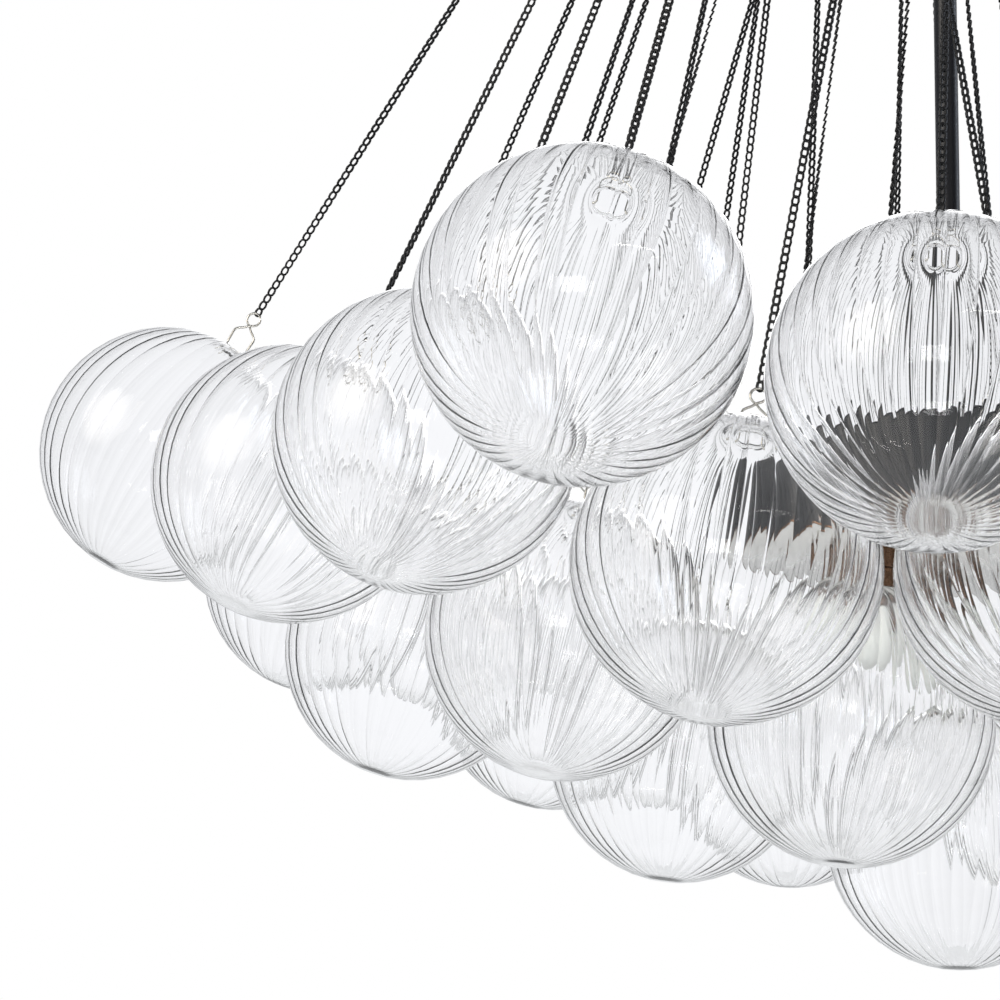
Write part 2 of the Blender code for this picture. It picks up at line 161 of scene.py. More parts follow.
def spinProfile(bm, points, steps, closed=False):
    # turns (radius, height) points about Z
    verts = [bm.verts.new((radius, 0, height)) for radius, height in points]
    pairs = list(zip(verts, verts[1:])) + ([(verts[-1], verts[0])] if closed else [])
    edges = [bm.edges.new(pair) for pair in pairs]
    bmesh.ops.spin(bm, geom=verts + edges, cent=(0, 0, 0), axis=(0, 0, 1), angle=math.tau, steps=steps,
                   use_merge=True)
    bmesh.ops.remove_doubles(bm, verts=bm.verts, dist=weld)
    bmesh.ops.recalc_face_normals(bm, faces=bm.faces)


def sweepWire(bm, path, radius, sides, closed=False):
    # extrudes a round section from point to point, turning it with the path
    count = len(path)
    heading = []
    for k in range(count):
        if closed:
            heading.append((path[(k + 1) % count] - path[k - 1]).normalized())
        else:
            heading.append((path[min(k + 1, count - 1)] - path[max(k - 1, 0)]).normalized())
    facing = up.rotation_difference(heading[0]).to_matrix().to_4x4()
    start = bmesh.ops.create_circle(bm, cap_ends=not closed, segments=sides, radius=radius,
                                    matrix=Matrix.Translation(path[0]) @ facing)
    first = list({edge for vert in start["verts"] for edge in vert.link_edges})
    loop = first
    for k in range(1, count):
        made = bmesh.ops.extrude_edge_only(bm, edges=loop)["geom"]
        ring = [item for item in made if isinstance(item, bmesh.types.BMVert)]
        turn = heading[k - 1].rotation_difference(heading[k]).to_matrix().to_4x4()
        step = Matrix.Translation(path[k]) @ turn @ Matrix.Translation(-path[k - 1])
        bmesh.ops.transform(bm, matrix=step, verts=ring)
        fresh = set(ring)
        loop = [item for item in made if isinstance(item, bmesh.types.BMEdge)
                and item.verts[0] in fresh and item.verts[1] in fresh]
    if closed:
        bmesh.ops.bridge_loops(bm, edges=first + loop)
    else:
        bmesh.ops.contextual_create(bm, geom=loop)


def addRing(bm, radius, wire, matrix, around=24, sides=8):
    turns = [math.tau * k / around for k in range(around)]
    points = [matrix @ Vector((radius * math.cos(turn), radius * math.sin(turn), 0)) for turn in turns]
    sweepWire(bm, points, wire, sides, closed=True)


def linkPiece(name, mesh):
    piece = bpy.data.objects.new(name, mesh)
    bpy.context.scene.collection.objects.link(piece)
    return piece


def asPiece(name, bm, material, smoothAngle=40.0):
    bmesh.ops.recalc_face_normals(bm, faces=bm.faces)
    mesh = bpy.data.meshes.new(name)
    bm.to_mesh(mesh)
    bm.free()
    mesh.shade_smooth()
    if smoothAngle:
        mesh.set_sharp_from_angle(angle=math.radians(smoothAngle))
    mesh.materials.append(material)
    return linkPiece(name, mesh)


# globes, whose inner face has wide flutes with narrow ridges between them
globe = {
    "radius": 0.075,
    "wall": 0.003,
    "neck": 0.0109,  # radius where the faces meet the lip
    "ribs": 36,
    "ribDepth": 0.00036,
    "ribUneven": 0.32,  # share by which one ridge differs from the next
    "ridgeStray": 0.14,  # of a rib's width, either way
    "ridgeCrowd": 1.8,  # draws the steps of a rib close to its ridge, which makes the ridge narrow
    "ribStart": 0.008,  # the ridges run out before the pole and the neck
    "ribRise": 0.029,
    "pole": 0.0005,  # closer to the axis than this, a point stays where it is
    "stepsPerRib": 8,
    "swirls": (-0.05, 0.03, 0.08),  # radians of twist from middle to pole, one kind of globe each
    "lipRadius": 0.0018,
    "lipCircle": 0.0099,
    "lipHeight": 0.0729,
    "lipAngles": (90, 130, 170, 210, 250),
    "outerRings": 24,
    "innerRings": 26,
    "gatherButton": 0.0005,  # extra glass over the bottom pole
    "gatherRadius": 0.0090,
}


def globeProfile():
    # up the outer face from the bottom pole, over the lip, and down the inner face
    outer = globe["radius"]
    inner = outer - globe["wall"]
    outerTop = math.asin(globe["neck"] / outer)
    innerTop = math.asin(globe["neck"] / inner)
    points = []
    for k in range(globe["outerRings"]):
        turn = math.pi + (outerTop - math.pi) * k / (globe["outerRings"] - 1)
        points.append((outer * math.sin(turn) if k else 0.0, outer * math.cos(turn)))
    for angle in globe["lipAngles"]:
        turn = math.radians(angle)
        points.append((globe["lipCircle"] + globe["lipRadius"] * math.cos(turn),
                       globe["lipHeight"] + globe["lipRadius"] * math.sin(turn)))
    for k in range(globe["innerRings"]):
        share = k / (globe["innerRings"] - 1)
        turn = innerTop + (math.pi - innerTop) * share
        away = inner * math.sin(turn)
        rise = globe["gatherButton"] * max(0.0, 1 - (away / globe["gatherRadius"]) ** 2) ** 2
        points.append((away if share < 1 else 0.0, (inner - rise) * math.cos(turn)))
    return points


def makeGlobeMesh(swirl):
    bm = bmesh.new()
    ribs = globe["ribs"]
    spinProfile(bm, globeProfile(), ribs * globe["stepsPerRib"])
    innerLimit = globe["radius"] - globe["wall"] / 2
    # one draw more than there are ribs, which the later draws count on
    depths = [globe["ribDepth"] * (1 + globe["ribUneven"] * chance.uniform(-1, 1)) for k in range(ribs + 1)]
    strays = [globe["ridgeStray"] * strayChance.uniform(-1, 1) for k in range(ribs)]
    for vert in bm.verts:
        away = Vector((vert.co.x, vert.co.y)).length
        if away < globe["pole"]:
            continue
        place = (math.atan2(vert.co.y, vert.co.x) % math.tau) / math.tau * ribs
        near = round(place)  # the closest ridge
        aside = math.copysign(0.5 * (2 * abs(place - near)) ** globe["ridgeCrowd"], place - near)
        before = math.floor(place)
        low = strays[before % ribs]
        high = strays[(before + 1) % ribs]
        stray = low + (high - low) * (place - before)
        vert.co.rotate(Matrix.Rotation((near + aside - place + stray) / ribs * math.tau, 3, "Z"))
        if vert.co.length < innerLimit:
            share = min(1.0, max(0.0, (away - globe["ribStart"]) / globe["ribRise"]))
            rise = share * share * (3 - 2 * share) * away / globe["radius"] * depths[near % ribs]
            vert.co *= 1 - rise * (1 - 2 * abs(aside)) ** 2 / vert.co.length
        vert.co.rotate(Matrix.Rotation(swirl * vert.co.z / globe["radius"], 3, "Z"))
    mesh = bpy.data.meshes.new("globe")
    bm.to_mesh(mesh)
    bm.free()
    mesh.shade_smooth()
    mesh.materials.append(blownGlass)
    return mesh


def pendantMatrix(centre, axis):
    # across the clip, its side, and up the chain
    across = Vector((0, 1, 0)).cross(axis).normalized()
    matrix = Matrix((across, axis.cross(across), axis)).transposed().to_4x4()
    matrix.translation = centre
    return matrix


chance = random.Random(7)
strayChance = random.Random(5)
globeMeshes = [makeGlobeMesh(swirl) for swirl in globe["swirls"]]
pendants = {}
for name, joint in joints.items():
    if not name.startswith("turn_"):
        continue
    node = name.replace("turn", "globe")
    axis = Vector(joint["axis"]).normalized()
    matrix = pendantMatrix(Vector(joint["pos_m"]), axis)
    pendants[node] = {"matrix": matrix, "axis": axis}
    mesh = chance.choice(globeMeshes).copy()
    mesh.transform(matrix @ Matrix.Rotation(chance.uniform(0, math.tau), 4, "Z"))
    piece = linkPiece("blown_" + node, mesh)
    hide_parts(node)
    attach(piece, node)
print("globes blown:", len(pendants))

# hooks, chains and clips
hooks = {
    "drop": 0.160,
    "circle": 0.062,
    "slack": 0.002,  # how far past its hook a pendant's axis may run
    "azimuths": {
        "chains_left": 90.0, "chains_back_left": 115.0, "chains_front": -5.0, "chains_back": 175.0,
        "chains_right": 270.0, "chains_front_right": 295.0,
        "corner_hanger_01": 82.0, "corner_hanger_04": 102.0, "corner_hanger_07": 150.0,
        "corner_hanger_10": 262.0, "corner_hanger_13": 282.0, "corner_hanger_16": 330.0,
    },
}
gather = {"radius": 0.0078, "wire": 0.0013, "bundleBead": 0.0052, "singleBead": 0.0026}
link = {
    "pitch": 0.0050,
    "length": 0.0066,
    "width": 0.0051,
    "wire": 0.00088,
    "steps": 10,
    "tilt": 15.0,  # degrees, so that each link lies over the next
    "twist": 20.0,
    "faceShare": 0.22,  # how far up the chain its face looks to the front
    "turns": 0.5,  # slow turn of the chain's face over its length
    "startPlay": 0.8,  # radians either way, from chain to chain
    "turnPlay": 0.07,  # the same from link to link
    "swayPlay": 0.05,
    "firstGap": 0.0012,  # from the clip's ring to the middle of the first link
}
clip = {
    "wire": 0.00070,
    "sides": 6,
    "ringRadius": 0.0041,
    "ringHeight": 0.0205,  # above the globe's top
    # foot, leg, shoulder and crossing, each by its reach and its height above the globe's top
    "side": ((0.0092, -0.0062), (0.0073, -0.0056), (0.0061, -0.0038), (0.0063, 0.0020), (0.0066, 0.0090),
             (0.0062, 0.0106), (0.0048, 0.0118), (0.0022, 0.0136), (0.0, 0.0158)),
    "lean": 1.1,  # how far either half stands off the clip's plane, in radii of the wire
    "leanPoints": 6,  # points of the path over which it gets there
}


def makeLinkMesh():
    # one oval ring, its long way up Z and its face towards Y
    bm = bmesh.new()
    reach = link["width"] / 2 - link["wire"]
    place = Matrix.Translation((reach, 0, 0)) @ Matrix.Rotation(math.pi / 4, 4, "Z")
    section = bmesh.ops.create_circle(bm, segments=4, radius=link["wire"], matrix=place)
    edges = list({edge for vert in section["verts"] for edge in vert.link_edges})
    bmesh.ops.spin(bm, geom=section["verts"] + edges, cent=(0, 0, 0), axis=(0, 1, 0), angle=math.tau,
                   steps=link["steps"], use_merge=True)
    bmesh.ops.remove_doubles(bm, verts=bm.verts, dist=weld)
    stretch = link["length"] / 2 - link["width"] / 2
    for vert in bm.verts:  # ends drawn out to the oval's length, while the sides stay
        if abs(vert.co.z) > weld:
            vert.co.z += math.copysign(stretch, vert.co.z)
    bmesh.ops.recalc_face_normals(bm, faces=bm.faces)
    mesh = bpy.data.meshes.new("link")
    bm.to_mesh(mesh)
    bm.free()
    mesh.transform(Matrix.Rotation(math.radians(link["twist"]), 4, "Z")
                   @ Matrix.Rotation(math.radians(link["tilt"]), 4, "X"))
    return mesh


linkMesh = makeLinkMesh()


def addStrand(bm, matrix, bottom, top, turnStart):
    # links from the clip's ring up to the hook, along the pendant's own Z
    count = max(2, round((top - bottom) / link["pitch"]))
    step = (top - bottom) / count
    for k in range(count + 1):
        turn = turnStart + link["turns"] * math.tau * k / count
        turn += chance.uniform(-link["turnPlay"], link["turnPlay"])
        sway = Matrix.Rotation(chance.uniform(-link["swayPlay"], link["swayPlay"]), 4, "X")
        raised = matrix @ Matrix.Translation((0, 0, bottom + step * k))
        mesh = linkMesh.copy()
        mesh.transform(raised @ Matrix.Rotation(turn, 4, "Z") @ sway)
        bm.from_mesh(mesh)
        bpy.data.meshes.remove(mesh)


def clipPath():
    # one wire: foot, leg, shoulder, over to the ring, round it, and down the other side
    turns = [math.radians(angle) for angle in range(-60, 241, 30)]
    ring = [(clip["ringRadius"] * math.cos(turn), clip["ringHeight"] + clip["ringRadius"] * math.sin(turn))
            for turn in turns]
    flat = [(-reach, height) for reach, height in clip["side"]] + ring + list(reversed(clip["side"]))
    middle = (len(flat) - 1) / 2
    points = []
    for k, (across, height) in enumerate(flat):  # the wire passes itself at the crossing
        lean = clip["wire"] * clip["lean"] * max(-1.0, min(1.0, (k - middle) / clip["leanPoints"]))
        points.append(Vector((across, lean, globe["radius"] + height)))
    return points


def azimuthDirection(degrees):
    turn = math.radians(degrees)
    return Vector((-math.sin(turn), -math.cos(turn), 0))


def hookPlace(azimuth):
    return azimuthDirection(azimuth) * hooks["circle"] - up * hooks["drop"]


def gatherMatrix(azimuth):
    # a standing ring square to the hook wire, whose bottom is at the hook
    return (Matrix.Translation(hookPlace(azimuth) + up * gather["radius"])
            @ Matrix.Rotation(-math.radians(azimuth), 4, "Z") @ Matrix.Rotation(math.pi / 2, 4, "Y"))


def onLine(data, point):
    away = point - data["matrix"].translation
    return (away - data["axis"] * away.dot(data["axis"])).length < hooks["slack"]


def makeHanger(node, hook, ringMatrix, body):
    # the chains whose axes meet at this hook, with its gather ring and bead, then their clips
    chained = bmesh.new()
    strands = [data for data in pendants.values() if "hook" not in data and onLine(data, hook)]
    for data in strands:
        data["hook"] = node
        centre = data["matrix"].translation
        top = (hook - centre).length - gather["wire"]
        bottom = globe["radius"] + clip["ringHeight"] + clip["ringRadius"] + link["firstGap"]
        lead = link["turns"] * math.tau * link["faceShare"]
        start = chance.uniform(-link["startPlay"], link["startPlay"]) - lead
        addStrand(chained, data["matrix"], bottom, top, start)
    addRing(chained, gather["radius"], gather["wire"], ringMatrix)
    bead = gather["bundleBead"] if len(strands) > 1 else gather["singleBead"]
    bmesh.ops.create_uvsphere(chained, u_segments=24, v_segments=14, radius=bead,
                              matrix=Matrix.Translation(hook))
    piece = asPiece("curb_" + node, chained, blackOxide, smoothAngle=0)
    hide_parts(node)
    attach(piece, body)
    clips = bmesh.new()
    for data in strands:
        sweepWire(clips, [data["matrix"] @ point for point in clipPath()], clip["wire"], clip["sides"])
    wires = asPiece("clips_" + node, clips, springWire, smoothAngle=0)
    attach(wires, body)
    return len(strands)


strandCount = 0
for kind in ("corner", "chains"):  # the corner pendants take their globes first
    for node, azimuth in hooks["azimuths"].items():
        if node.startswith(kind):
            body = "corner_pendant_" + node[-2:] if kind == "corner" else "fixture"
            strandCount += makeHanger(node, hookPlace(azimuth), gatherMatrix(azimuth), body)
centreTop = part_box("centre_hanger")[1].z
centreHook = Vector((0, 0, centreTop - gather["wire"] - 2 * gather["radius"]))
centreRing = Matrix.Translation(centreHook + up * gather["radius"]) @ Matrix.Rotation(math.pi / 2, 4, "Y")
strandCount += makeHanger("centre_hanger", centreHook, centreRing, "fixture")
print("strands hung:", strandCount)


# fixture: bracket, rod, canopy, hook ring, lamp
def arc(cx, cz, radius, start, end, steps):
    # points of an arc, angles in degrees
    turns = [math.radians(start + (end - start) * k / steps) for k in range(steps + 1)]
    return [(cx + radius * math.cos(turn), cz + radius * math.sin(turn)) for turn in turns]


def turnedPiece(name, points, steps, material, closed=False):
    bm = bmesh.new()
    spinProfile(bm, points, steps, closed)
    return asPiece(name, bm, material)


def dress(piece, body, slotName, *nodes):
    if nodes:
        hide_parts(*nodes)
    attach(piece, body)


def addTurned(bm, points, steps, place, closed=False):
    # a turned shape beside what the bmesh already holds
    part = bmesh.new()
    spinProfile(part, points, steps, closed)
    mesh = bpy.data.meshes.new("turned")
    part.to_mesh(mesh)
    part.free()
    mesh.transform(place)
    bm.from_mesh(mesh)
    bpy.data.meshes.remove(mesh)


rod = {"radius": 0.007, "chamfer": 0.0006, "bore": 0.0073, "steps": 64}
rodLow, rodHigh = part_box("rod")
rodEnd = rod["radius"] - rod["chamfer"]
dress(turnedPiece("rod_tube", [
    (0, rodLow.z), (rodEnd, rodLow.z), (rod["radius"], rodLow.z + rod["chamfer"]),
    (rod["radius"], rodHigh.z - rod["chamfer"]), (rodEnd, rodHigh.z), (0, rodHigh.z)],
    rod["steps"], powderCoat), "fixture", "black_metal", "rod")

bracket = {
    "radius": 0.048,
    "plate": 0.0025,
    "chamfer": 0.0005,
    "boss": 0.012,
    "bossFoot": 0.002,
    "steps": 96,
    "screwCircle": 0.034,
    "screwHead": 0.0042,
    "headSteps": 24,
    "headSunk": 0.0002,
    "headHeight": 0.0020,
    "headInset": 0.0007,
    "headRise": 0.0004,
    "driveInset": 0.0016,
    "driveDepth": 0.0008,
}
bracketLow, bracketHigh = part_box("ceiling_bracket")
bracketWork = bmesh.new()
plateUnder = bracketHigh.z - bracket["plate"]
plateEnd = bracket["radius"] - bracket["chamfer"]
addTurned(bracketWork, [
    (0, bracketHigh.z), (plateEnd, bracketHigh.z), (bracket["radius"], bracketHigh.z - bracket["chamfer"]),
    (bracket["radius"], plateUnder + bracket["chamfer"]), (plateEnd, plateUnder),
    (bracket["boss"] + bracket["bossFoot"], plateUnder), (bracket["boss"], plateUnder - bracket["bossFoot"]),
    (bracket["boss"], bracketLow.z + bracket["chamfer"]),
    (bracket["boss"] - bracket["chamfer"], bracketLow.z), (rod["bore"], bracketLow.z),
    (rod["bore"], plateUnder), (0, plateUnder)], bracket["steps"], Matrix())
for side in (-1, 1):
    place = Matrix.Translation((side * bracket["screwCircle"], 0, plateUnder + bracket["headSunk"]))
    head = bmesh.ops.create_circle(bracketWork, cap_ends=True, segments=bracket["headSteps"],
                                   radius=bracket["screwHead"], matrix=place)
    cap = list({face for vert in head["verts"] for face in vert.link_faces})
    down = bmesh.ops.extrude_face_region(bracketWork, geom=cap)["geom"]
    low = [item for item in down if isinstance(item, bmesh.types.BMVert)]
    bmesh.ops.translate(bracketWork, verts=low, vec=(0, 0, -bracket["headHeight"]))
    face = [item for item in down if isinstance(item, bmesh.types.BMFace)]
    bmesh.ops.inset_region(bracketWork, faces=face, thickness=bracket["headInset"], depth=bracket["headRise"])
    bmesh.ops.inset_region(bracketWork, faces=face, thickness=bracket["driveInset"])
    drive = list({vert for item in face for vert in item.verts})
    bmesh.ops.translate(bracketWork, verts=drive, vec=(0, 0, bracket["driveDepth"]))
dress(asPiece("bracket_plate", bracketWork, zincPlate), "fixture", "zinc", "ceiling_bracket")

canopy = {"radius": 0.060, "wall": 0.0012, "corner": 0.010, "lip": 0.0003, "steps": 128}
canopyLow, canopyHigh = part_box("canopy")
cornerX = canopy["radius"] - canopy["corner"]
cornerZ = canopyLow.z + canopy["corner"]
dress(turnedPiece("canopy_cup", [(canopy["radius"] - canopy["lip"], canopyHigh.z),
                                 (canopy["radius"], canopyHigh.z - canopy["lip"])]
                  + arc(cornerX, cornerZ, canopy["corner"], 0, -90, 12)
                  + [(rod["bore"], canopyLow.z), (rod["bore"], canopyLow.z + canopy["wall"])]
                  + arc(cornerX, cornerZ, canopy["corner"] - canopy["wall"], -90, 0, 8)
                  + [(canopy["radius"] - canopy["wall"], canopyHigh.z)],
                  canopy["steps"], powderCoat, closed=True),
      "canopy", "black_metal", "canopy")

collar = {
    "radius": 0.0125,
    "lip": 0.0004,
    "chamfer": 0.0012,
    "steps": 64,
    "screw": 0.0016,
    "screwSteps": 24,
    "screwLength": 0.0036,
    "screwChamfer": 0.0002,
    "socket": 0.0008,
    "socketDepth": 0.0010,
    "proud": 0.0003,
}
collarLow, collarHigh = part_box("canopy_collar")
collarWork = bmesh.new()
addTurned(collarWork, [
    (rod["bore"], collarHigh.z), (collar["radius"] - collar["lip"], collarHigh.z),
    (collar["radius"], collarHigh.z - collar["lip"]), (collar["radius"], collarLow.z + collar["chamfer"]),
    (collar["radius"] - collar["chamfer"], collarLow.z), (rod["bore"], collarLow.z)],
    collar["steps"], Matrix(), closed=True)
socketFloor = collar["screwLength"] - collar["socketDepth"]
screwPlace = Matrix.Translation((0, collar["radius"] + collar["proud"] - collar["screwLength"],
                                 (collarLow.z + collarHigh.z) / 2)) @ Matrix.Rotation(-math.pi / 2, 4, "X")
addTurned(collarWork, [
    (0, 0), (collar["screw"], 0), (collar["screw"], collar["screwLength"] - collar["screwChamfer"]),
    (collar["screw"] - collar["screwChamfer"], collar["screwLength"]),
    (collar["socket"], collar["screwLength"]), (collar["socket"], socketFloor), (0, socketFloor)],
    collar["screwSteps"], screwPlace)
dress(asPiece("collar_ring", collarWork, powderCoat), "canopy", "black_metal", "canopy_collar")

hookRing = {
    "hub": 0.013,
    "hubHeight": 0.018,
    "hubChamfer": 0.001,
    "steps": 64,
    "wire": 0.0020,
    "spoke": 0.0018,
    "spokes": 4,
    "spokeSides": 16,
    "spokeTurn": 45.0,
    "spokeReaches": (rod["bore"] + 0.001, 0.03, hooks["circle"]),
}
ringLow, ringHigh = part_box("hook_ring")
ringHeight = (ringLow.z + ringHigh.z) / 2
hubTop = ringHeight + hookRing["hubHeight"] / 2
hubUnder = ringHeight - hookRing["hubHeight"] / 2
hubEnd = hookRing["hub"] - hookRing["hubChamfer"]
ringWork = bmesh.new()
addTurned(ringWork, [
    (rod["bore"], hubTop), (hubEnd, hubTop), (hookRing["hub"], hubTop - hookRing["hubChamfer"]),
    (hookRing["hub"], hubUnder + hookRing["hubChamfer"]), (hubEnd, hubUnder), (rod["bore"], hubUnder)],
    hookRing["steps"], Matrix(), closed=True)
addRing(ringWork, hooks["circle"], hookRing["wire"], Matrix.Translation((0, 0, ringHeight)),
        around=120, sides=14)
for k in range(hookRing["spokes"]):
    way = azimuthDirection(hookRing["spokeTurn"] + 360 / hookRing["spokes"] * k)
    path = [way * reach + up * ringHeight for reach in hookRing["spokeReaches"]]
    sweepWire(ringWork, path, hookRing["spoke"], hookRing["spokeSides"])
dress(asPiece("hook_ring_wire", ringWork, powderCoat), "fixture", "black_metal", "hook_ring")

lamp = {
    "radius": 0.127,
    "wall": 0.0015,
    "edge": 0.003,
    "steps": 160,
    "rodGap": 0.0003,
    "plate": 0.002,
    "plateGap": 0.0004,
    "plateChamfer": 0.0003,
    "rim": 0.0012,
    "rimProud": 0.0001,
    "rimLap": 0.0002,
    "rimChamfer": 0.0004,
    "holderTop": 0.0175,
    "holder": 0.0140,
    "holderSteps": 48,
    "holderSunk": 0.0005,  # how deep lampholders and eye boss reach into the plate
    "flange": 0.0022,
    "flangeChamfer": 0.0006,
    "shoulder": (0.0022, 0.0010),  # past the holder's radius, and under the flange
    "groove": ((0.0010, 0.0110), (0.0003, 0.0104), (0.0009, 0.0098)),  # past the radius, over the mouth
    "mouthChamfer": 0.0010,
    "socket": 0.0105,
    "socketDepth": 0.018,
    "eye": 0.0055,
    "eyeWire": 0.0014,
    "eyeBoss": ((0.0045, 0.0006), (0.0038, 0.0012)),  # radius, and depth under the plate
    "bossSteps": 32,
}
lampLow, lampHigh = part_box("lamp_body")
plateTop = lampLow.z + lamp["plate"]
plateSeat = plateTop + lamp["plateGap"]
rimTop = lampLow.z + lamp["rim"]
inside = lamp["radius"] - lamp["wall"]
socketTop = rodLow.z - lamp["rodGap"]
dress(turnedPiece("lamp_drum", [(0, socketTop), (rod["bore"], socketTop), (rod["bore"], lampHigh.z)]
                  + arc(lamp["radius"] - lamp["edge"], lampHigh.z - lamp["edge"], lamp["edge"], 90, 0, 8)
                  + [(lamp["radius"], rimTop), (inside, rimTop), (inside, plateSeat), (0, plateSeat)],
                  lamp["steps"], powderCoat),
      "fixture", "lamp_black", "lamp_body")
rimOut = lamp["radius"] + lamp["rimProud"]
dress(turnedPiece("lamp_rim", [
    (rimOut, rimTop + lamp["rimLap"]), (rimOut, lampLow.z + lamp["rimChamfer"]),
    (rimOut - lamp["rimChamfer"], lampLow.z), (inside, lampLow.z), (inside, rimTop + lamp["rimLap"])],
    lamp["steps"], burnishedBronze, closed=True), "fixture", "bronze")
plateOut = inside - lamp["plateGap"]
dress(turnedPiece("lamp_plate_disc", [
    (0, plateTop), (plateOut, plateTop), (plateOut, lampLow.z + lamp["plateChamfer"]),
    (plateOut - lamp["plateGap"], lampLow.z), (0, lampLow.z)],
    lamp["steps"], paleBronze), "fixture", "bronze", "lamp_plate")

bulb = {
    "radius": 0.0170,
    "steps": 64,
    "flare": (0.0012, 0.0008),  # past the cap's radius, and under it
    "shoulder": 0.004,
    "shoulderDrop": 0.006,
    "gap": 0.0003,  # between the lampholder's mouth and the glass
    "cap": 0.0099,
    "capChamfer": 0.0003,
    "capSeat": 0.0002,
    "capSteps": 48,
    "contact": ((0, 0), (0.0030, 0), (0.0034, 0.0006), (0.0075, 0.0012)),  # radius, and depth from the top
    "thread": 0.00035,
    "threadTop": 0.0022,
    "threadPitch": 0.0022,
    "threadSteps": 6,
    "turns": 5,
}
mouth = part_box("lamp_plate")[0].z  # the lampholders' lower ends
holderSeat = lampLow.z + lamp["holderSunk"]
flangeUnder = lampLow.z - lamp["flange"]
holderWork = bmesh.new()
for k in (1, 2, 3):
    bulbLow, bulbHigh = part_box(f"bulb_{k}")
    place = Matrix.Translation(((bulbLow.x + bulbHigh.x) / 2, (bulbLow.y + bulbHigh.y) / 2, 0))
    addTurned(holderWork, [
        (0, holderSeat), (lamp["holderTop"], holderSeat), (lamp["holderTop"], flangeUnder),
        (lamp["holderTop"] - lamp["flangeChamfer"], flangeUnder - lamp["flangeChamfer"]),
        (lamp["holder"] + lamp["shoulder"][0], flangeUnder - lamp["shoulder"][1])]
        + [(lamp["holder"] + past, mouth + over) for past, over in lamp["groove"]]
        + [(lamp["holder"], mouth + lamp["mouthChamfer"]), (lamp["holder"] - lamp["mouthChamfer"], mouth),
           (lamp["socket"], mouth), (lamp["socket"], mouth + lamp["socketDepth"]),
           (0, mouth + lamp["socketDepth"])], lamp["holderSteps"], place)
    neck = mouth - bulb["gap"]
    tip = bulbLow.z + bulb["radius"]
    glassWork = bmesh.new()
    addTurned(glassWork, [(0, neck), (bulb["cap"], neck),
                          (bulb["cap"] + bulb["flare"][0], neck - bulb["flare"][1])]
              + arc(bulb["radius"] - bulb["shoulder"], neck - bulb["shoulderDrop"], bulb["shoulder"],
                    60, 0, 5)
              + arc(0, tip, bulb["radius"], 0, -82, 14) + [(0, bulbLow.z)], bulb["steps"], place)
    dress(asPiece(f"bulb_{k}_glass", glassWork, opalGlass), f"bulb_{k}", "bulb_glass", f"bulb_{k}")
    thread = []
    for t in range(bulb["threadSteps"] * bulb["turns"] + 1):
        share = t / bulb["threadSteps"]
        thread.append((bulb["cap"] - bulb["thread"] * (0.5 - 0.5 * math.cos(math.tau * share)),
                       bulbHigh.z - bulb["threadTop"] - bulb["threadPitch"] * share))
    capWork = bmesh.new()
    addTurned(capWork, [(radius, bulbHigh.z - depth) for radius, depth in bulb["contact"]] + thread
              + [(bulb["cap"] - bulb["capChamfer"], neck + bulb["capSeat"]), (0, neck + bulb["capSeat"])],
              bulb["capSteps"], place)
    dress(asPiece(f"bulb_{k}_cap", capWork, zincPlate), f"bulb_{k}", "zinc")
boss = [(radius, lampLow.z - depth) for radius, depth in lamp["eyeBoss"]]
addTurned(holderWork, [(0, holderSeat), (boss[0][0], holderSeat)] + boss + [(0, boss[-1][1])],
          lamp["bossSteps"], Matrix())
eyePlace = Matrix.Translation((0, 0, lampLow.z - lamp["eye"])) @ Matrix.Rotation(math.pi / 2, 4, "X")
addRing(holderWork, lamp["eye"], lamp["eyeWire"], eyePlace, around=36, sides=12)
dress(asPiece("lampholders_and_eye", holderWork, burnishedBronze), "fixture", "bronze")
print("fixture finished")

# floor, world and lamps
studio = {
    "floorDrop": 2.3,
    "floorSize": 60.0,
    "floorTone": "#F2F2F1",
    "floorPaler": "#F8F8F7",
    "fillTone": "#F0F2F5",
    "fillLevel": 0.95,  # light on matte faces
    "bands": 10,  # soft bands round the room
    "bandShade": 0.89,  # what they leave, which the ribs pick up
    "flagNarrow": 70.0,
    "flagShade": 0.25,  # narrow dark strips, low down, that draw one line inside each limb
    "flagHeights": (0.16, 0.02),  # of the look's direction, from where they start to where they are full
    "glassTone": "#F9FAFD",  # the white of the room as the glass shows it
    "overheadShade": 0.90,
    "overheadHeights": (0.45, 0.85),
    "mirrorLevel": 0.28,  # the dim side of the room in the glass's own reflections
    "mirrorBack": 0.78,  # the white sweep behind, which lights the limbs
    "mirrorSpan": (-0.1, 0.75),  # of the look's direction, from the dim side to the sweep
    # soft boxes as the glass shows them: towards, half angle, level, tone
    "softBoxes": (((-0.75, -0.54, 0.36), 26, 9.0, "#FFF8EE"), ((-0.85, -0.40, -0.33), 15, 7.0, "#DDE7F6"),
                  ((0.90, 0.14, 0.41), 17, 7.0, "#DDE7F6"), ((0.2, 0.9, 0.38), 22, 2.0, "#FFFFFF"),
                  ((0.35, 0.90, -0.26), 16, 1.1, "#FFFFFF")),
    "lampAim": (0, 0, -0.95),
    # place, width, height, watts, tone, and whether reflections show it
    "lamps": {
        "keySoftBox": ((-2.1, -1.6, 0.3), 1.4, 1.4, 20, "#FFFAF2", False),
        "sideSoftBox": ((2.4, 0.6, 0.3), 1.2, 1.2, 9, "#EFF4FF", False),
        "tubeStrip": ((0.88, -2.08, 0.30), 1.1, 0.045, 3.2, "#FFFDF8", True),
        "paneLeft": ((-0.78, -2.92, -0.68), 0.30, 0.46, 7.0, "#FFFFFF", True),
        "paneRight": ((-0.40, -2.97, -0.68), 0.30, 0.46, 7.0, "#FFFFFF", True),
    },
    "bounces": 40,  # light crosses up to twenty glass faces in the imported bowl
}


